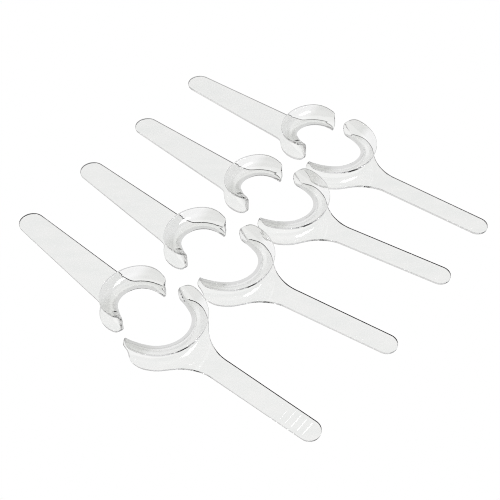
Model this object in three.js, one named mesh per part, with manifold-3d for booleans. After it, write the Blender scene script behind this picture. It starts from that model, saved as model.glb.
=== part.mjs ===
// Set of eight loose hand-held cheek retractors, each one clear moulding:
// four large ones (narrow straight handle flaring into a wide C) and four
// small ones (paddle handle widening steadily into a smaller C).
// Units mm, +Z up. All eight lie flat on the plane z = 0, lip gutter upwards.
// Every retractor is one thin wall: flat handle and lower blade on the table,
// a rounded wall around the C mouth, and an upper flange that turns outward
// again, so that the cross-section is a U lying on its side.
import * as THREE from 'three';
import Module from 'manifold-3d';

// ---------------------------------------------------------------- dimensions
const LARGE = {
  height: 20.7,            // table to top of the upper flange
  thickness: 2.4,          // wall, blade and handle
  edge: 0.45,              // how far the rounded edge stands out of the sheet
  bend: 9.1,               // radial depth of the rounded wall at the handle
  mouthRadius: 26.0,       // middle of the wall at mid height
  axisShift: 0,            // C axis relative to the handle axis
  rim: [                   // upper flange edge: angle about the C centre, radius
    [0, 38.0], [15, 38.0], [30, 38.0], [45, 37.9], [58, 37.4], [70, 37.0], [80, 36.6], [88, 35.9], [94, 34.6],
  ],
  splayFrom: [67, 67],     // beyond this angle the wall of each arm runs straight
  mouthEndX: -6.3,         // x where the arms end at mid height
  armScale: [1, 1],        // length of the +y and the -y arm
  topEnd: 0.955, lowEnd: 0.915,   // arm length at the top and bottom rows
  blade: [                 // lower blade and handle outline, arm end to handle
    [[2.6, 34.4], [6.2, 35.2], [12.5, 34.7], [18.3, 32.1], [24.0, 28.2], [29.7, 22.1],
      [34.2, 17.7], [39.3, 14.1], [44.9, 11.4], [50.6, 9.6], [55.7, 8.7]],
    [[2.6, -34.4], [6.2, -35.2], [12.5, -34.9], [18.5, -32.6], [24.4, -28.8], [30.2, -23.0],
      [34.7, -18.5], [39.9, -14.7], [45.5, -11.8], [51.2, -9.8], [56.0, -8.8]],
  ],
  tipX: 149.0, tipHalf: 8.35, rootHalf: 9.1,
  ridges: { count: 6, first: 113.5, pitch: 5.0, width: 1.5, rise: 0.45, reach: 6.6 },
};
const SMALL = {
  height: 17.8,
  thickness: 2.4,
  edge: 0.45,
  bend: 7.7,
  mouthRadius: 18.4,
  axisShift: -2.7,
  rim: [
    [0, 30.9], [15, 31.0], [30, 31.0], [45, 30.9], [58, 30.3], [70, 28.9], [80, 27.3], [90, 26.0], [98, 24.8],
  ],
  splayFrom: [63, 70],
  mouthEndX: -5.0,
  armScale: [0.955, 0.99],
  topEnd: 0.975, lowEnd: 0.965,
  blade: [
    [[-1.7, 24.4], [0.9, 25.6], [4.4, 26.4], [8.6, 26.4], [13.6, 25.3], [18.0, 23.0], [22.3, 19.2],
      [24.4, 16.9], [25.8, 15.7], [27.6, 15.0], [30.4, 14.5], [34.0, 14.1]],
    [[-1.2, -26.9], [1.6, -28.0], [4.8, -28.3], [8.4, -27.7], [12.6, -26.0], [17.0, -23.6], [20.8, -20.4],
      [23.6, -17.5], [25.6, -16.0], [27.8, -15.1], [30.4, -14.6], [34.0, -14.2]],
  ],
  tipX: 141.6, tipHalf: 10.15, rootHalf: 15.75,
};
// [x, y] of the C centre and the direction of the handle in degrees
const LARGE_POSES = [[-68.43, 462.44, -38.76], [-18.41, 521.97, -31.53], [27.48, 584.98, -29.98], [70.98, 648.06, -34.96]];
const SMALL_POSES = [[-85.13, 478.58, 135.83], [-39.59, 540.69, 136.86], [7.83, 602.49, 139.64], [56.85, 666.71, 142.27]];

const COLS = 30;           // columns around the C
const BEND_ROWS = 7;       // rows round the bend of the U
const TIP_STEPS = 9;

// ------------------------------------------------------------------- helpers
const rad = (d) => d * Math.PI / 180;
function lerpTable(t, x) {
  if (x <= t[0][0]) return t[0][1];
  for (let i = 1; i < t.length; i++) if (x <= t[i][0]) {
    const f = (x - t[i - 1][0]) / (t[i][0] - t[i - 1][0]);
    return t[i - 1][1] + f * (t[i][1] - t[i - 1][1]);
  }
  return t[t.length - 1][1];
}
// middle of the wall at mid height; u = 0 at the handle, +-1 at the arm ends
function mouth(S, u) {
  const s = Math.sign(u) || 1, R = S.mouthRadius, k = rad(S.splayFrom[u > 0 ? 0 : 1]);
  const bx = R * Math.cos(k), by = R * Math.sin(k);
  const run = (bx - S.mouthEndX) / Math.sin(k);
  const total = R * k + run, d = Math.abs(u) * total;
  if (d <= R * k) return [R * Math.cos(d / R), s * R * Math.sin(d / R)];
  const e = d - R * k;
  return [bx - e * Math.sin(k), s * (by + e * Math.cos(k))];
}
// upper flange edge at the same u
function rimAt(S, u) {
  const s = Math.sign(u) || 1, a = Math.abs(u) * S.rim[S.rim.length - 1][0];
  const r = lerpTable(S.rim, a) - S.edge;
  return [r * Math.cos(rad(a)), s * r * Math.sin(rad(a))];
}
function endScale(S, h) {  // h = 0 bottom .. 1 top; the arms bulge at mid height
  const lim = h > 0.5 ? S.topEnd : S.lowEnd, q = Math.abs(2 * h - 1);
  return 1 - (1 - lim) * q * q;
}
// one grid point of the C: column u, row parameter w (0 rim .. 1 end of bend)
function cPoint(S, u, w) {
  const Hm = S.height - S.thickness;
  const flat = 0.22;
  let q = 0, out = 0;      // q runs 0..1 round the bend
  if (w < flat) out = 1 - w / flat; else q = (w - flat) / (1 - flat);
  const h = (1 + Math.cos(Math.PI * q)) / 2;
  const uu = u * endScale(S, h) * S.armScale[u > 0 ? 0 : 1];
  const [ix, iy] = mouth(S, uu), [ox, oy] = rimAt(S, uu);
  const D = Math.hypot(ox - ix, oy - iy), dx = (ox - ix) / D, dy = (oy - iy) / D;
  const a = Math.min(S.bend, 0.8 * D, Hm / 2);
  // quarter round, straight wall, quarter round, by arc length
  const arc = Math.PI * a / 2, wall = Math.max(Hm - 2 * a, 0), len = 2 * arc + wall, e = q * len;
  let r, z;
  if (out > 0) { r = a + (D - a) * out; z = Hm; }
  else if (e < arc) { r = a * (1 - Math.sin(e / a)); z = Hm - a * (1 - Math.cos(e / a)); }
  else if (e < arc + wall) { r = 0; z = Hm - a - (e - arc); }
  else { const g = (len - e) / a; r = a * (1 - Math.sin(g)); z = a * (1 - Math.cos(g)); }
  return [ix + dx * r, iy + dy * r + S.axisShift, S.thickness / 2 + z];
}
// outline of blade and handle, from the arm end at +y, round the tip, to -y
function bladeOutline(S) {
  const half = (sgn) => {
    const pts = S.blade[sgn > 0 ? 0 : 1].map((p) => [...p]);
    const w = (x) => S.rootHalf + (S.tipHalf - S.rootHalf) * x / (S.tipX - S.tipHalf);
    const x0 = pts[pts.length - 1][0];
    for (let k = 1; k <= 3; k++) {
      const x = x0 + (S.tipX - S.tipHalf - x0) * k / 3;
      pts.push([x, sgn * w(x)]);
    }
    return pts;
  };
  const up = half(1), dn = half(-1).reverse();
  const tip = [];
  for (let k = 1; k < TIP_STEPS; k++) {
    const a = Math.PI / 2 - Math.PI * k / TIP_STEPS;
    tip.push([S.tipX - S.tipHalf + S.tipHalf * Math.cos(a), S.tipHalf * Math.sin(a)]);
  }
  return [...up, ...tip, ...dn];
}

// ------------------------------------------- sheet, then both faces and edge
function buildShell(S) {
  const P = [], N = [], rows = [];
  const ws = [0, 0.22];
  for (let k = 1; k <= BEND_ROWS; k++) ws.push(0.22 + 0.78 * k / BEND_ROWS);
  for (let j = 0; j < ws.length; j++) {
    const row = [];
    for (let i = 0; i <= COLS; i++) {
      const u = 1 - 2 * i / COLS;              // +y arm first
      row.push(P.length); P.push(cPoint(S, u, ws[j]));
      const e = 1e-3, uc = Math.max(-1 + e, Math.min(1 - e, u)), wc = Math.max(e, Math.min(1 - e, ws[j]));
      const a = cPoint(S, uc + e, wc), b = cPoint(S, uc - e, wc), c = cPoint(S, uc, wc + e), d = cPoint(S, uc, wc - e);
      const n = new THREE.Vector3(b[0] - a[0], b[1] - a[1], b[2] - a[2])
        .cross(new THREE.Vector3(c[0] - d[0], c[1] - d[1], c[2] - d[2])).normalize();
      if (j === ws.length - 1) n.set(0, 0, Math.sign(n.z) || 1);
      if (j <= 1) n.set(0, 0, Math.sign(n.z) || 1);
      N.push(n);
    }
    rows.push(row);
  }
  const quads = [];
  for (let j = 0; j < rows.length - 1; j++) for (let i = 0; i < COLS; i++)
    quads.push([rows[j][i], rows[j + 1][i + 1], rows[j + 1][i]], [rows[j][i], rows[j][i + 1], rows[j + 1][i + 1]]);
  // plate
  const low = rows[rows.length - 1];
  const nPlate = N[low[COLS >> 1]].clone();
  const outline = bladeOutline(S).map(([x, y]) => {
    P.push([x, y, S.thickness / 2]); N.push(nPlate.clone()); return P.length - 1;
  });
  // polygon: along the end of the bend from -y arm back to +y arm, then outline
  const poly = [...outline, ...[...low].reverse()];
  let contour = poly.map((q) => new THREE.Vector2(P[q][0], P[q][1]));
  const tris = THREE.ShapeUtils.triangulateShape(contour, []);
  const ccw = THREE.ShapeUtils.area(contour) > 0;
  const wantUp = nPlate.z > 0;
  for (const [a, b, c] of tris) {
    const A = P[poly[a]], B = P[poly[b]], C = P[poly[c]];
    const z = (B[0] - A[0]) * (C[1] - A[1]) - (B[1] - A[1]) * (C[0] - A[0]);
    if ((z > 0) === wantUp) quads.push([poly[a], poly[b], poly[c]]); else quads.push([poly[a], poly[c], poly[b]]);
  }
  // boundary edges of the oriented sheet
  const seen = new Map();
  for (const t of quads) for (let k = 0; k < 3; k++) seen.set(t[k] + '_' + t[(k + 1) % 3], [t[k], t[(k + 1) % 3]]);
  const next = new Map();
  for (const [k, [a, b]] of seen) if (!seen.has(b + '_' + a)) next.set(a, b);
  // vertices: upper face, lower face, edge line
  const up = [], dn = [], mid = new Map(), V = [];
  const put = (x, y, z) => { V.push(x, y, z); return V.length / 3 - 1; };
  const h = S.thickness / 2;
  P.forEach((p, k) => { const n = N[k]; up[k] = put(p[0] + n.x * h, p[1] + n.y * h, p[2] + n.z * h); });
  P.forEach((p, k) => { const n = N[k]; dn[k] = put(p[0] - n.x * h, p[1] - n.y * h, p[2] - n.z * h); });
  const prev = new Map([...next].map(([a, b]) => [b, a]));
  for (const a of next.keys()) {
    const n = N[a], pa = P[prev.get(a)], pb = P[next.get(a)];
    const t = new THREE.Vector3(pb[0] - pa[0], pb[1] - pa[1], pb[2] - pa[2]).normalize();
    const m = t.cross(n).normalize();
    mid.set(a, put(P[a][0] + m.x * S.edge, P[a][1] + m.y * S.edge, P[a][2] + m.z * S.edge));
  }
  const F = [];
  for (const [a, b, c] of quads) { F.push(up[a], up[b], up[c]); F.push(dn[a], dn[c], dn[b]); }
  for (const [a, b] of next) {
    F.push(up[b], up[a], mid.get(a), up[b], mid.get(a), mid.get(b));
    F.push(mid.get(b), mid.get(a), dn[a], mid.get(b), dn[a], dn[b]);
  }
  return { V, F };
}
function signedVolume(V, F) {
  let v = 0;
  for (let k = 0; k < F.length; k += 3) {
    const [a, b, c] = [F[k] * 3, F[k + 1] * 3, F[k + 2] * 3];
    v += (V[a] * (V[b + 1] * V[c + 2] - V[b + 2] * V[c + 1]) - V[a + 1] * (V[b] * V[c + 2] - V[b + 2] * V[c])
      + V[a + 2] * (V[b] * V[c + 1] - V[b + 1] * V[c])) / 6;
  }
  return v;
}

// ------------------------------------------------------------------ the set
const wasm = await Module();
wasm.setup();
function toManifold({ V, F }) {
  if (signedVolume(V, F) < 0) for (let k = 0; k < F.length; k += 3) [F[k + 1], F[k + 2]] = [F[k + 2], F[k + 1]];
  return new wasm.Manifold(new wasm.Mesh({ numProp: 3, vertProperties: new Float32Array(V), triVerts: new Uint32Array(F) }));
}
function withRidges(body, S) {
  const g = S.ridges;
  let out = body;
  for (let k = 0; k < g.count; k++) {
    // low bar with sloped flanks, its foot sunk into the handle
    const x = g.first + k * g.pitch, w = g.width / 2, z0 = S.thickness - 0.6, z1 = S.thickness, z2 = S.thickness + g.rise;
    const prof = [[x - w, z0], [x + w, z0], [x + w, z1], [x + w * 0.45, z2], [x - w * 0.45, z2], [x - w, z1]];
    const V = [], F = [], n = prof.length;
    for (const y of [-g.reach, g.reach]) for (const [px, pz] of prof) V.push(px, y, pz);
    for (let i = 0; i < n; i++) { const j = (i + 1) % n; F.push(i, j, n + j, i, n + j, n + i); }
    for (let i = 1; i < n - 1; i++) { F.push(0, i + 1, i); F.push(n, n + i, n + i + 1); }
    out = out.add(toManifold({ V, F }));
  }
  return out;
}
function geometryOf(man, [px, py, deg]) {
  const m = man.getMesh(), np = m.numProp, pos = [];
  const c = Math.cos(rad(deg)), s = Math.sin(rad(deg));
  for (let i = 0; i < m.vertProperties.length; i += np) {
    const x = m.vertProperties[i], y = m.vertProperties[i + 1];
    pos.push(px + c * x - s * y, py + s * x + c * y, m.vertProperties[i + 2]);
  }
  const g = new THREE.BufferGeometry();
  g.setAttribute('position', new THREE.Float32BufferAttribute(pos, 3));
  g.setIndex([...m.triVerts]);
  g.computeVertexNormals();
  return g;
}

const large = withRidges(toManifold(buildShell(LARGE)), LARGE);
const small = toManifold(buildShell(SMALL));
const part = new THREE.Group();
part.name = 'cheek_retractor_set';
const list = [];
LARGE_POSES.forEach((p, k) => list.push(['large_retractor_' + (k + 1), geometryOf(large, p)]));
SMALL_POSES.forEach((p, k) => list.push(['small_retractor_' + (k + 1), geometryOf(small, p)]));
// the origin is the middle of the set's footprint, on the table
const box = new THREE.Box3();
for (const [, g] of list) { g.computeBoundingBox(); box.union(g.boundingBox); }
const cx = (box.min.x + box.max.x) / 2, cy = (box.min.y + box.max.y) / 2;
export const centre = [cx, cy, box.min.z];
for (const [name, g] of list) {
  g.translate(-cx, -cy, -box.min.z);
  const mesh = new THREE.Mesh(g, new THREE.MeshStandardMaterial({ color: 0xe6eaec, roughness: 0.08, metalness: 0.0 }));
  mesh.name = name;
  part.add(mesh);
}
export default part;
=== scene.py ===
import math
import bpy
import numpy as np
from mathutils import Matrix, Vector
from mathutils.geometry import tessellate_polygon


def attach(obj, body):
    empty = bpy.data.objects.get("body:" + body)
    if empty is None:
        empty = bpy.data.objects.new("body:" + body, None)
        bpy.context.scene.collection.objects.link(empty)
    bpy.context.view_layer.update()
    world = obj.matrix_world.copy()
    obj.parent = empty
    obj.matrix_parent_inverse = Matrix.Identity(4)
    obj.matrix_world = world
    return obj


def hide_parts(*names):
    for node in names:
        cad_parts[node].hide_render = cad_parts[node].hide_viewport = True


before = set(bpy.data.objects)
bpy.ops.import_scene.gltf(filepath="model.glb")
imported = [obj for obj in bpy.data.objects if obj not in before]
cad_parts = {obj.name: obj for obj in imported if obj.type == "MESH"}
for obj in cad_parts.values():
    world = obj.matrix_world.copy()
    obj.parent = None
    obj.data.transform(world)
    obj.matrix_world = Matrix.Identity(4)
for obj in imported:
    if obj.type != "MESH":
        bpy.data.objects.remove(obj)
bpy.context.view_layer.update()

CENTRE = (2.52801513671875, 561.6640625)

# ------------------------------------------------------------------ camera
cam_data = bpy.data.cameras.new("camera")
cam_data.sensor_fit = "HORIZONTAL"
cam_data.sensor_width = 36.0
cam_data.lens = 73.82
cam_data.clip_start = 0.01
cam_data.clip_end = 60.0
cam = bpy.data.objects.new("camera", cam_data)
cam.location = (-0.002528, -0.561664, 0.624412)
cam.rotation_euler = (math.pi / 2 - 0.855711, 0.0, 0.0)
bpy.context.scene.collection.objects.link(cam)
bpy.context.scene.camera = cam

# -------------------------------------------------------------- dimensions, mm
LARGE = dict(
    height=20.7, thickness=2.4, edge=0.45, fillet=0.22, low_fillet=0.85, tip_fillet=1.05, draft=5.6, inset=0.0, bend=9.1, mouth=26.0, shift=0.0,
    rim=[(0, 38.0), (15, 38.0), (30, 38.0), (45, 37.9), (58, 37.4), (70, 37.0), (80, 36.6), (88, 35.9), (94, 34.6)],
    splay=(67, 67), end_x=-6.3, arm=(1.0, 1.0), top_end=(0.955, 0.955), low_end=(0.915, 0.915), low_taper=0.2,
    blade=([(2.6, 34.4), (6.2, 35.2), (12.5, 34.7), (18.3, 32.1), (24.0, 28.2), (29.7, 22.1),
            (34.2, 17.7), (39.3, 14.1), (44.9, 11.4), (50.6, 9.6), (55.7, 8.85)],
           [(2.6, -34.4), (6.2, -35.2), (12.5, -34.9), (18.5, -32.6), (24.4, -28.8), (30.2, -23.0),
            (34.7, -18.5), (39.9, -14.7), (45.5, -11.8), (51.2, -9.8), (56.0, -8.9)]),
    tip_x=149.0, tip_half=8.35, root_half=9.1, root_x=62.0,
    ridges=dict(count=6, first=113.5, pitch=5.0, width=2.4, rise=0.2, reach=6.6))
SMALL = dict(
    height=17.8, thickness=2.4, edge=0.45, fillet=0.22, low_fillet=0.7, tip_fillet=0.9, draft=5.6, inset=0.0, bend=7.7, mouth=18.4, shift=-2.7,
    rim=[(0, 30.9), (15, 31.0), (30, 31.0), (45, 30.9), (58, 30.3), (70, 28.9), (80, 27.3), (90, 26.0), (98, 24.8)],
    splay=(63, 70), end_x=-5.0, arm=(0.955, 0.99), top_end=(0.975, 0.975), low_end=(1.012, 0.965), low_taper=0.35,
    blade=([(-2.9, 22.6), (-1.4, 24.5), (0.9, 25.6), (4.4, 26.4), (8.6, 26.4), (13.6, 25.3), (18.0, 23.0), (22.3, 19.2),
            (24.4, 16.9), (25.8, 15.7), (27.6, 15.0), (30.4, 14.5), (34.0, 14.25)],
           [(-1.2, -26.9), (1.6, -28.0), (4.8, -28.3), (8.4, -27.7), (12.6, -26.0), (17.0, -23.6), (20.8, -20.4),
            (23.6, -17.5), (25.6, -16.0), (27.8, -15.1), (30.4, -14.6), (34.0, -14.3)]),
    tip_x=141.6, tip_half=10.15, root_half=15.75, root_x=40.0, ridges=None)
LARGE_POSES = [(-68.43, 462.44, -38.76), (-18.41, 521.97, -31.53), (27.48, 584.98, -29.98), (70.98, 648.06, -34.96)]
SMALL_POSES = [(-85.13, 478.58, 135.83), (-39.59, 540.69, 136.86), (7.83, 602.49, 139.64), (56.85, 666.71, 142.27)]

COLS = 168          # columns round the C
FLAT_ROWS = 5       # rows on the flat rim of the flange
BEND_ROWS = 40      # rows round the wall
Y_LINES = 25        # lines across the handle
ROUND = 6           # steps of each rounded edge


def hermite(table):
    """A smooth curve through a table of (x, y), without overshoot."""
    xs = np.array([p[0] for p in table], float)
    ys = np.array([p[1] for p in table], float)
    h = np.diff(xs)
    d = np.diff(ys) / h
    m = np.zeros(len(xs))
    m[0], m[-1] = d[0], d[-1]
    for k in range(1, len(xs) - 1):
        m[k] = 0.0 if d[k - 1] * d[k] <= 0 else 2 * d[k - 1] * d[k] / (d[k - 1] + d[k])

    def at(x):
        k = int(np.clip(np.searchsorted(xs, x) - 1, 0, len(h) - 1))
        t = (x - xs[k]) / h[k]
        return ((2 * t ** 3 - 3 * t ** 2 + 1) * ys[k] + (t ** 3 - 2 * t ** 2 + t) * h[k] * m[k]
                + (-2 * t ** 3 + 3 * t ** 2) * ys[k + 1] + (t ** 3 - t ** 2) * h[k] * m[k + 1])
    return at


def smooth_line(points, step=0.7):
    """Centripetal Catmull-Rom curve through 2-D points, sampled about every step."""
    p = [np.array(q, float) for q in points]
    p = [2 * p[0] - p[1]] + p + [2 * p[-1] - p[-2]]
    out = []
    for k in range(1, len(p) - 2):
        a, b, c, d = p[k - 1], p[k], p[k + 1], p[k + 2]
        t0 = 0.0
        t1 = t0 + np.linalg.norm(b - a) ** 0.5
        t2 = t1 + np.linalg.norm(c - b) ** 0.5
        t3 = t2 + np.linalg.norm(d - c) ** 0.5
        n = max(2, int(round(np.linalg.norm(c - b) / step)))
        for i in range(n):
            t = t1 + (t2 - t1) * i / n
            a1 = (t1 - t) / (t1 - t0) * a + (t - t0) / (t1 - t0) * b
            a2 = (t2 - t) / (t2 - t1) * b + (t - t1) / (t2 - t1) * c
            a3 = (t3 - t) / (t3 - t2) * c + (t - t2) / (t3 - t2) * d
            b1 = (t2 - t) / (t2 - t0) * a1 + (t - t0) / (t2 - t0) * a2
            b2 = (t3 - t) / (t3 - t1) * a2 + (t - t1) / (t3 - t1) * a3
            out.append((t2 - t) / (t2 - t1) * b1 + (t - t1) / (t2 - t1) * b2)
    out.append(p[-2])
    return out


class Pattern:
    """One moulding: a thin sheet from the flange rim round the wall into the blade and handle."""

    def __init__(self, s):
        self.s = s
        self.rim = hermite(s["rim"])
        self.rim_last = s["rim"][-1][0]

    def mouth(self, u):
        s = self.s
        sg = 1 if u >= 0 else -1
        R, k = s["mouth"], math.radians(s["splay"][0 if u > 0 else 1])
        bx, by = R * math.cos(k), R * math.sin(k)
        run = (bx - s["end_x"]) / math.sin(k)
        total = R * k + run
        d = abs(u) * total
        if d <= R * k:
            return R * math.cos(d / R), sg * R * math.sin(d / R), total
        e = d - R * k
        return bx - e * math.sin(k), sg * (by + e * math.cos(k)), total

    def rim_at(self, u):
        sg = 1 if u >= 0 else -1
        a = abs(u) * self.rim_last
        r = self.rim(a) - self.s["edge"]
        return r * math.cos(math.radians(a)), sg * r * math.sin(math.radians(a))

    def point(self, u, w):
        s = self.s
        hm = s["height"] - s["thickness"]
        flat = 0.22
        q = out = 0.0
        if w < flat:
            out = 1 - w / flat
        else:
            q = (w - flat) / (1 - flat)
        h = (1 + math.cos(math.pi * q)) / 2
        lim = s["top_end" if h > 0.5 else "low_end"][0 if u > 0 else 1]
        e = abs(2 * h - 1)
        scale = 1 - (1 - lim) * e * e
        # the corner between the rim and the arm end is rounded
        near = max(0.0, w / 0.5)
        if near < 1:
            scale *= 1 - 0.06 * (1 - math.sqrt(max(0.0, 1 - (1 - near) ** 2))) * abs(u) ** 6
        uu = u * scale * s["arm"][0 if u > 0 else 1]
        uu *= 1 - s["inset"] / self.mouth(uu)[2]
        ix, iy, _ = self.mouth(uu)
        ox, oy = self.rim_at(uu)
        D = math.hypot(ox - ix, oy - iy)
        dx, dy = (ox - ix) / D, (oy - iy) / D
        a = min(s["bend"], 0.8 * D, hm / 2)
        b = a * (1 - s["low_taper"] * abs(u) ** 6)      # radius of the lower quarter
        arc = math.pi * a / 2
        wall = max(hm - a - b, 0.0)
        ln = arc + wall + math.pi * b / 2
        g = q * ln
        if out > 0:
            r, z = a + (D - a) * out, hm
        elif g < arc:
            r, z = a * (1 - math.sin(g / a)), hm - a * (1 - math.cos(g / a))
        elif g < arc + wall:
            r, z = 0.0, hm - a - (g - arc)
        else:
            g = (ln - g) / b
            r, z = b * (1 - math.sin(g)), b * (1 - math.cos(g))
        return np.array((ix + dx * r, iy + dy * r + s["shift"], s["thickness"] / 2 + z))

    def half(self, x):
        s = self.s
        return s["root_half"] + (s["tip_half"] - s["root_half"]) * x / (s["tip_x"] - s["tip_half"])

    def ridge(self, x, y):
        r = self.s["ridges"]
        if not r:
            return 0.0
        k = round((x - r["first"]) / r["pitch"])
        if k < 0 or k >= r["count"]:
            return 0.0
        d = abs(x - r["first"] - k * r["pitch"]) / (r["width"] * 0.75)
        if d >= 1:
            return 0.0
        e = min(1.0, max(0.0, (r["reach"] + 0.4 - abs(y)) / 0.8))
        return r["rise"] * (0.5 + 0.5 * math.cos(math.pi * d)) ** 0.8 * (e * e * (3 - 2 * e))

    def build(self):
        s = self.s
        h = s["thickness"] / 2
        P, N, faces, lift = [], [], [], []
        ws = [0.22 * j / FLAT_ROWS for j in range(FLAT_ROWS)]
        ws += [0.22 + 0.78 * j / BEND_ROWS for j in range(BEND_ROWS + 1)]
        # columns gather towards the arm ends, where the shape turns fastest
        us = []
        for i in range(COLS + 1):
            t = 1 - 2 * i / COLS
            us.append(0.72 * t + 0.28 * math.sin(math.pi * t / 2))
        rows = []
        e = 2e-3
        for j, w in enumerate(ws):
            row = []
            for u in us:
                row.append(len(P))
                P.append(self.point(u, w))
                uc = min(1 - e, max(-1 + e, u))
                wc = min(1 - e, max(e, w))
                du = self.point(uc - e, wc) - self.point(uc + e, wc)
                dw = self.point(uc, wc + e) - self.point(uc, wc - e)
                n = np.cross(du, dw)
                n /= np.linalg.norm(n)
                if j == len(ws) - 1 or w <= 0.221:
                    n = np.array((0, 0, 1.0 if n[2] > 0 else -1.0))
                N.append(n)
            rows.append(row)
        low = rows[-1]
        flip = N[low[COLS // 2]][2] < 0
        if flip:
            N = [-n for n in N]
        for j in range(len(rows) - 1):
            for i in range(COLS):
                q = [rows[j][i], rows[j][i + 1], rows[j + 1][i + 1], rows[j + 1][i]]
                a, b, c, d = (P[k] for k in q)
                if np.dot(np.cross(c - a, d - b), N[q[0]] + N[q[2]]) < 0:
                    q.reverse()
                faces.append(q)
        lift = [0.0] * len(P)
        top_n = [None] * len(P)
        up = np.array((0, 0, 1.0))

        def add(x, y):
            P.append(np.array((x, y, h)))
            N.append(up.copy())
            z = self.ridge(x, y)
            lift.append(z)
            if z > 0 or self.ridge(x + .05, y) > 0 or self.ridge(x - .05, y) > 0:
                gx = (self.ridge(x + .02, y) - self.ridge(x - .02, y)) / .04
                gy = (self.ridge(x, y + .02) - self.ridge(x, y - .02)) / .04
                n = np.array((-gx, -gy, 1.0))
                top_n.append(n / np.linalg.norm(n))
            else:
                top_n.append(None)
            return len(P) - 1

        # handle, station by station
        rx = s["root_x"]
        x1 = s["tip_x"] - s["tip_half"]
        ins = s["inset"]
        xs = [rx]
        r = s["ridges"]
        while xs[-1] < x1 - 0.05:
            x = xs[-1]
            st = 1.4
            if r and r["first"] - 2 < x < r["first"] + r["count"] * r["pitch"]:
                st = 0.2
            xs.append(min(x1, x + st))
        stations = [(x, self.half(x) - ins) for x in xs]
        for k in range(1, 36):
            a = math.radians(90 - 2.5 * k)
            stations.append((x1 + (s["tip_half"] - ins) * math.cos(a), (s["tip_half"] - ins) * math.sin(a)))
        ts = [math.sin(math.pi / 2 * (1 - 2 * k / (Y_LINES - 1))) for k in range(Y_LINES)]
        ts = [0.5 * t + 0.5 * (1 - 2 * k / (Y_LINES - 1)) for k, t in enumerate(ts)]
        prev = None
        for x, w in stations:
            row = [add(x, t * w) for t in ts]
            if prev is None:
                root = row
            else:
                for k in range(Y_LINES - 1):
                    faces.append([prev[k], prev[k + 1], row[k + 1], row[k]])
            prev = row
        tip = add(s["tip_x"] - ins, 0.0)
        for k in range(Y_LINES - 1):
            faces.append([prev[k], prev[k + 1], tip])
        # blade outlines, arm end to handle root
        sides = []
        for sg, table in ((1, s["blade"][0]), (-1, s["blade"][1])):
            line = smooth_line(list(table) + [(rx, sg * self.half(rx))])
            inner = []
            for k in range(len(line) - 1):
                t = line[k + 1] - line[max(0, k - 1)]
                t /= np.linalg.norm(t)
                inner.append(line[k] + sg * ins * np.array((t[1], -t[0])))
            sides.append([add(x, y) for x, y in inner])
        poly = sides[0] + root + sides[1][::-1] + low[::-1]
        for tri in tessellate_polygon([[Vector((P[k][0], P[k][1], 0)) for k in poly]]):
            a, b, c = (poly[k] for k in tri)
            ar = (P[b][0] - P[a][0]) * (P[c][1] - P[a][1]) - (P[b][1] - P[a][1]) * (P[c][0] - P[a][0])
            if abs(ar) < 1e-9:
                continue
            faces.append([a, b, c] if ar > 0 else [a, c, b])
        # the handle faces run the same way
        fixed = []
        for f in faces:
            if N[f[0]][2] > 0.999 and N[f[1]][2] > 0.999 and N[f[2]][2] > 0.999 and f[0] > low[-1]:
                ar = 0.0
                for k in range(len(f)):
                    p, q = P[f[k]], P[f[(k + 1) % len(f)]]
                    ar += p[0] * q[1] - q[0] * p[1]
                if ar < 0:
                    f = f[::-1]
            fixed.append(f)
        faces = fixed
        # open edge of the sheet
        seen = set()
        for f in faces:
            for k in range(len(f)):
                seen.add((f[k], f[(k + 1) % len(f)]))
        nxt = {a: b for a, b in seen if (b, a) not in seen}
        prv = {b: a for a, b in nxt.items()}
        V, VN = [], []
        nP = len(P)
        for k in range(nP):
            V.append(P[k] + N[k] * (h + lift[k]))
            VN.append(top_n[k] if top_n[k] is not None else N[k])
        for k in range(nP):
            V.append(P[k] - N[k] * h)
            VN.append(-N[k])
        F = [list(f) for f in faces] + [[k + nP for k in reversed(f)] for f in faces]
        ed = s["edge"]
        # outward directions, evened along the edge
        out = {}
        for a in nxt:
            t = P[nxt[a]] - P[prv[a]]
            m = np.cross(t / np.linalg.norm(t), N[a])
            out[a] = m / np.linalg.norm(m)
        for _ in range(3):
            out = {a: (lambda v: v / np.linalg.norm(v))(out[prv[a]] + 2 * out[a] + out[nxt[a]]) for a in out}
        ring = {}
        for a in nxt:
            n = N[a]
            m = out[a] - n * np.dot(out[a], n)
            m /= np.linalg.norm(m)
            ids = [a]
            dr = s["draft"] * n[2]
            lean = h * math.tan(math.radians(dr))
            for side in (1, -1):
                fr = s["fillet"]
                if side == -1:
                    # the underside is rounded off more towards the tip of the handle
                    t = min(1.0, max(0.0, (P[a][0] - s["tip_x"] + 16.0) / 9.0))
                    fr = s["low_fillet"] + (s["tip_fillet"] - s["low_fillet"]) * t * t * (3 - 2 * t)
                # fuller rounding where the edge climbs the wall at the arm ends
                fr += max(0.0, 0.9 - fr) * min(1.0, 1.6 * (1 - abs(n[2])))
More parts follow.
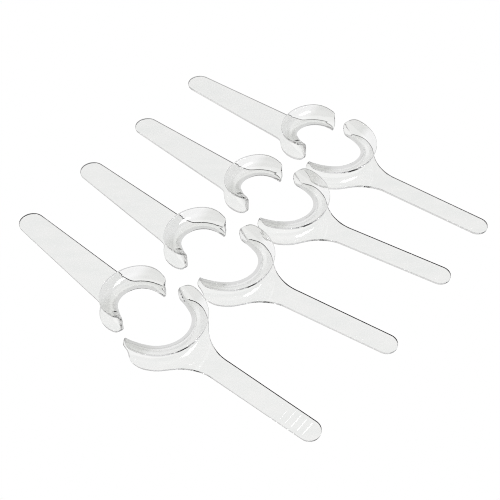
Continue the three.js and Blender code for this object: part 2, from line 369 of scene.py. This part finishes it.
                # the rounding never reaches back over the flat face, so it is taller than it is wide
                fx = min(fr, ed + side * lean - 0.03)
                end = 90 + side * dr
                steps = range(0, ROUND + 1) if side == 1 else range(ROUND, -1, -1)
                for k in steps:
                    f = math.radians(end * k / ROUND)
                    V.append(P[a] + m * (ed + side * lean - fx + fx * math.sin(f)) + n * side * (h - fr + fr * math.cos(f)))
                    v = m * math.sin(f) * fr + n * side * math.cos(f) * fx
                    VN.append(v / np.linalg.norm(v))
                    ids.append(len(V) - 1)
            ids.append(a + nP)
            ring[a] = ids
        for a, b in nxt.items():
            ra, rb = ring[a], ring[b]
            for k in range(len(ra) - 1):
                F.append([rb[k], ra[k], ra[k + 1], rb[k + 1]])
        V = np.array(V)
        VN = np.array(VN)
        vol = 0.0
        for f in F:
            a = V[f[0]]
            for k in range(1, len(f) - 1):
                vol += np.dot(a, np.cross(V[f[k]], V[f[k + 1]])) / 6
        if vol < 0:
            F = [f[::-1] for f in F]
        print("sheet verts", nP, "mesh verts", len(V), "faces", len(F), "volume cm3", round(abs(vol) / 1000, 2), "boundary", len(nxt))
        return V, VN, F


def place(name, body, shape, pose, mat):
    V, VN, F = shape
    x0, y0, deg = pose
    c, s = math.cos(math.radians(deg)), math.sin(math.radians(deg))
    R = np.array(((c, s, 0), (-s, c, 0), (0, 0, 1.0)))
    W = V @ R + np.array((x0 - CENTRE[0], y0 - CENTRE[1], 0.0))
    Wn = VN @ R
    me = bpy.data.meshes.new(name)
    me.from_pydata((W / 1000.0).tolist(), [], F)
    me.polygons.foreach_set("use_smooth", [True] * len(me.polygons))
    me.update()
    me.normals_split_custom_set_from_vertices(Wn.tolist())
    # handle-side mask, read by the plastic material to paint the high flange lighter over the handle
    stem = me.attributes.new("stem", "FLOAT", "POINT")
    stem.data.foreach_set("value", np.clip((V[:, 0] - 13.0) / 7.0, 0.0, 1.0).astype(np.float32))
    me.materials.append(mat)
    ob = bpy.data.objects.new(name, me)
    bpy.context.scene.collection.objects.link(ob)
    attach(ob, body)
    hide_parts(body)
    return ob


# ---------------------------------------------------------------- materials
def clear_plastic():
    mat = bpy.data.materials.new("clear_polycarbonate")
    mat.use_nodes = True
    nt = mat.node_tree
    bs = nt.nodes["Principled BSDF"]
    bs.inputs["Transmission Weight"].default_value = 1.0
    bs.inputs["IOR"].default_value = 1.57
    tc = nt.nodes.new("ShaderNodeTexCoord")
    # slow flow waves left by moulding
    mp = nt.nodes.new("ShaderNodeMapping")
    mp.inputs["Rotation"].default_value = (0.0, 0.0, math.radians(38))
    mp.inputs["Scale"].default_value = (1.0, 3.0, 1.0)
    nt.links.new(tc.outputs["Object"], mp.inputs["Vector"])
    flow = nt.nodes.new("ShaderNodeTexNoise")
    flow.inputs["Scale"].default_value = 42.0
    flow.inputs["Detail"].default_value = 2.0
    nt.links.new(mp.outputs["Vector"], flow.inputs["Vector"])
    fine = nt.nodes.new("ShaderNodeTexNoise")
    fine.inputs["Scale"].default_value = 900.0
    fine.inputs["Detail"].default_value = 3.0
    nt.links.new(tc.outputs["Object"], fine.inputs["Vector"])
    b1 = nt.nodes.new("ShaderNodeBump")
    b1.inputs["Strength"].default_value = 0.02
    b1.inputs["Distance"].default_value = 0.002
    nt.links.new(flow.outputs["Fac"], b1.inputs["Height"])
    b2 = nt.nodes.new("ShaderNodeBump")
    b2.inputs["Strength"].default_value = 0.004
    b2.inputs["Distance"].default_value = 0.0004
    nt.links.new(fine.outputs["Fac"], b2.inputs["Height"])
    nt.links.new(b1.outputs["Normal"], b2.inputs["Normal"])
    nt.links.new(b2.outputs["Normal"], bs.inputs["Normal"])
    # handling marks: the gloss breaks a little in fine scuffs
    scuff = nt.nodes.new("ShaderNodeTexNoise")
    scuff.inputs["Scale"].default_value = 160.0
    scuff.inputs["Detail"].default_value = 6.0
    scuff.inputs["Roughness"].default_value = 0.7
    nt.links.new(tc.outputs["Object"], scuff.inputs["Vector"])
    rr = nt.nodes.new("ShaderNodeMapRange")
    rr.inputs["From Min"].default_value = 0.35
    rr.inputs["From Max"].default_value = 0.75
    rr.inputs["To Min"].default_value = 0.004
    rr.inputs["To Max"].default_value = 0.035
    nt.links.new(scuff.outputs["Fac"], rr.inputs["Value"])
    nt.links.new(rr.outputs["Result"], bs.inputs["Roughness"])
    # very slight tint change along the flow
    cr = nt.nodes.new("ShaderNodeValToRGB")
    cr.color_ramp.elements[0].position = 0.3
    cr.color_ramp.elements[0].color = (0.915, 0.925, 0.915, 1)
    cr.color_ramp.elements[1].position = 0.7
    cr.color_ramp.elements[1].color = (0.955, 0.955, 0.945, 1)
    nt.links.new(flow.outputs["Fac"], cr.inputs["Fac"])
    # painted shade: the base colour of the walls and flange, standing off the flat blade, is darkened a little by
    # height, in long soft streaks
    sz = nt.nodes.new("ShaderNodeSeparateXYZ")
    nt.links.new(tc.outputs["Object"], sz.inputs["Vector"])
    zr = nt.nodes.new("ShaderNodeMapRange")
    zr.inputs["From Min"].default_value = 0.0
    zr.inputs["From Max"].default_value = 0.021
    nt.links.new(sz.outputs["Z"], zr.inputs["Value"])
    wall = nt.nodes.new("ShaderNodeValToRGB")
    we = wall.color_ramp.elements
    we[0].position, we[0].color = 0.117, (0, 0, 0, 1)
    we[1].position, we[1].color = 1.0, (0.16, 0.16, 0.16, 1)
    for pos, v in ((0.155, 0.2), (0.42, 0.18), (0.66, 0.15)):
        c = we.new(pos)
        c.color = (v, v, v, 1)
    nt.links.new(zr.outputs["Result"], wall.inputs["Fac"])
    mz = nt.nodes.new("ShaderNodeMapping")
    mz.inputs["Scale"].default_value = (9.0, 9.0, 330.0)
    nt.links.new(tc.outputs["Object"], mz.inputs["Vector"])
    streak = nt.nodes.new("ShaderNodeTexNoise")
    streak.inputs["Scale"].default_value = 1.0
    streak.inputs["Detail"].default_value = 3.0
    streak.inputs["Distortion"].default_value = 0.4
    nt.links.new(mz.outputs["Vector"], streak.inputs["Vector"])
    # painted shade: the streak noise sets how dark the walls are painted
    painted_wall_shade = nt.nodes.new("ShaderNodeValToRGB")
    painted_wall_shade.color_ramp.elements[0].position = 0.32
    painted_wall_shade.color_ramp.elements[0].color = (0.80, 0.795, 0.79, 1)
    painted_wall_shade.color_ramp.elements[1].position = 0.66
    painted_wall_shade.color_ramp.elements[1].color = (0.99, 0.987, 0.985, 1)
    nt.links.new(streak.outputs["Fac"], painted_wall_shade.inputs["Fac"])
    mul = nt.nodes.new("ShaderNodeMix")
    mul.data_type = "RGBA"
    mul.blend_type = "MULTIPLY"
    nt.links.new(wall.outputs["Color"], mul.inputs[0])
    nt.links.new(cr.outputs["Color"], mul.inputs[6])
    nt.links.new(painted_wall_shade.outputs["Color"], mul.inputs[7])
    # painted light and shade: the base colour of the high flange is painted lighter above the handle and a little
    # darker out along the arms
    stem = nt.nodes.new("ShaderNodeAttribute")
    stem.attribute_name = "stem"
    high = nt.nodes.new("ShaderNodeMapRange")
    high.inputs["From Min"].default_value = 0.45
    high.inputs["From Max"].default_value = 0.70
    nt.links.new(zr.outputs["Result"], high.inputs["Value"])
    over = nt.nodes.new("ShaderNodeMath")
    over.operation = "MULTIPLY"
    nt.links.new(high.outputs["Result"], over.inputs[0])
    nt.links.new(stem.outputs["Fac"], over.inputs[1])
    arms = nt.nodes.new("ShaderNodeMath")
    arms.operation = "SUBTRACT"
    nt.links.new(high.outputs["Result"], arms.inputs[0])
    nt.links.new(over.outputs["Value"], arms.inputs[1])
    # painted light: the base colour goes towards white where the flange stands over the handle
    clear = nt.nodes.new("ShaderNodeMix")
    clear.data_type = "RGBA"
    nt.links.new(over.outputs["Value"], clear.inputs[0])
    nt.links.new(mul.outputs[2], clear.inputs[6])
    clear.inputs[7].default_value = (1, 1, 1, 1)
    # painted shade: the base colour is a little darker where the flange runs out along the arms
    deep = nt.nodes.new("ShaderNodeMix")
    deep.data_type = "RGBA"
    deep.blend_type = "MULTIPLY"
    nt.links.new(arms.outputs["Value"], deep.inputs[0])
    nt.links.new(clear.outputs[2], deep.inputs[6])
    deep.inputs[7].default_value = (0.915, 0.915, 0.91, 1)
    nt.links.new(deep.outputs[2], bs.inputs["Base Color"])
    return mat


plastic = clear_plastic()
large = Pattern(LARGE).build()
small = Pattern(SMALL).build()
for k, p in enumerate(LARGE_POSES):
    place("large_clear_%d" % (k + 1), "large_retractor_%d" % (k + 1), large, p, plastic)
for k, p in enumerate(SMALL_POSES):
    place("small_clear_%d" % (k + 1), "small_retractor_%d" % (k + 1), small, p, plastic)

# -------------------------------------------------------------------- stage
me = bpy.data.meshes.new("floor")
S = 6.0
me.from_pydata([(-S, -S, -0.0006), (S, -S, -0.0006), (S, S, -0.0006), (-S, S, -0.0006)], [], [(0, 1, 2, 3)])
floor = bpy.data.objects.new("floor", me)
bpy.context.scene.collection.objects.link(floor)
fm = bpy.data.materials.new("white_table")
fm.use_nodes = True
nt = fm.node_tree
nt.nodes.clear()
o = nt.nodes.new("ShaderNodeOutputMaterial")
em = nt.nodes.new("ShaderNodeEmission")
em.inputs["Color"].default_value = (1, 1, 1, 1)
# light that reaches the table by way of a gloss reflection is dimmer, more so in front
lp = nt.nodes.new("ShaderNodeLightPath")
geo = nt.nodes.new("ShaderNodeNewGeometry")
sep = nt.nodes.new("ShaderNodeSeparateXYZ")
nt.links.new(geo.outputs["Position"], sep.inputs["Vector"])
dim = nt.nodes.new("ShaderNodeMapRange")
dim.inputs["From Min"].default_value = -0.02
dim.inputs["From Max"].default_value = 0.20
dim.inputs["To Min"].default_value = 0.0
dim.inputs["To Max"].default_value = 0.55
nt.links.new(sep.outputs["Y"], dim.inputs["Value"])
gl = nt.nodes.new("ShaderNodeMath")
gl.operation = "COMPARE"
gl.inputs[1].default_value = 1.0
gl.inputs[2].default_value = 0.5
nt.links.new(lp.outputs["Glossy Depth"], gl.inputs[0])
near = nt.nodes.new("ShaderNodeMath")
near.operation = "LESS_THAN"
near.inputs[1].default_value = 0.0026
nt.links.new(lp.outputs["Ray Length"], near.inputs[0])
# once reflected: dim where it leaves through the underside, half bright elsewhere
st = nt.nodes.new("ShaderNodeMix")
st.data_type = "FLOAT"
nt.links.new(near.outputs["Value"], st.inputs[0])
st.inputs[2].default_value = 0.72
nt.links.new(dim.outputs["Result"], st.inputs[3])
once = nt.nodes.new("ShaderNodeMix")
once.data_type = "FLOAT"
nt.links.new(gl.outputs["Value"], once.inputs[0])
once.inputs[2].default_value = 1.0
nt.links.new(st.outputs[0], once.inputs[3])
# reflected many times inside a wall: even grey
many = nt.nodes.new("ShaderNodeMath")
many.operation = "GREATER_THAN"
many.inputs[1].default_value = 1.5
nt.links.new(lp.outputs["Glossy Depth"], many.inputs[0])
fin = nt.nodes.new("ShaderNodeMix")
fin.data_type = "FLOAT"
nt.links.new(many.outputs["Value"], fin.inputs[0])
nt.links.new(once.outputs[0], fin.inputs[2])
fin.inputs[3].default_value = 0.8
nt.links.new(fin.outputs[0], em.inputs["Strength"])
nt.links.new(em.outputs["Emission"], o.inputs["Surface"])
me.materials.append(fm)

# surroundings: bright overhead, with a dim band low down all round
world = bpy.data.worlds.new("studio")
bpy.context.scene.world = world
world.use_nodes = True
nt = world.node_tree
nt.nodes.clear()
o = nt.nodes.new("ShaderNodeOutputWorld")
bg = nt.nodes.new("ShaderNodeBackground")
tc = nt.nodes.new("ShaderNodeTexCoord")
sep = nt.nodes.new("ShaderNodeSeparateXYZ")
nt.links.new(tc.outputs["Generated"], sep.inputs["Vector"])
ramp = nt.nodes.new("ShaderNodeValToRGB")
el = ramp.color_ramp.elements
el[0].position = 0.0
el[0].color = (0.75, 0.75, 0.75, 1)
el[1].position = 1.0
el[1].color = (0.30, 0.30, 0.30, 1)
for pos, v in ((0.48, 0.75), (0.60, 0.06), (0.88, 0.06)):
    c = el.new(pos)
    c.color = (v, v, v, 1)
nt.links.new(sep.outputs["Z"], ramp.inputs["Fac"])
lp = nt.nodes.new("ShaderNodeLightPath")
mix = nt.nodes.new("ShaderNodeMix")
mix.data_type = "RGBA"
nt.links.new(lp.outputs["Is Camera Ray"], mix.inputs[0])
nt.links.new(ramp.outputs["Color"], mix.inputs[6])
mix.inputs[7].default_value = (1, 1, 1, 1)
deep = nt.nodes.new("ShaderNodeMath")
deep.operation = "GREATER_THAN"
deep.inputs[1].default_value = 1.5
nt.links.new(lp.outputs["Glossy Depth"], deep.inputs[0])
mix2 = nt.nodes.new("ShaderNodeMix")
mix2.data_type = "RGBA"
nt.links.new(deep.outputs["Value"], mix2.inputs[0])
nt.links.new(mix.outputs[2], mix2.inputs[6])
mix2.inputs[7].default_value = (0.66, 0.66, 0.66, 1)
nt.links.new(mix2.outputs[2], bg.inputs["Color"])
bg.inputs["Strength"].default_value = 1.0
nt.links.new(bg.outputs["Background"], o.inputs["Surface"])

# softbox overhead, a little to the right
ld = bpy.data.lights.new("softbox", "AREA")
ld.shape = "RECTANGLE"
ld.size, ld.size_y = 0.8, 0.7
ld.energy = 11.0
lo = bpy.data.objects.new("softbox", ld)
lo.location = (0.80, 0.22, 1.85)
lo.rotation_euler = (Vector((0, 0, 0)) - lo.location).to_track_quat("-Z", "Y").to_euler()
bpy.context.scene.collection.objects.link(lo)

cy = bpy.context.scene.cycles
cy.max_bounces, cy.glossy_bounces, cy.transmission_bounces = 32, 24, 32
cy.filter_width = 1.0
bpy.context.scene.view_settings.view_transform = "Standard"
bpy.context.scene.view_settings.look = "None"
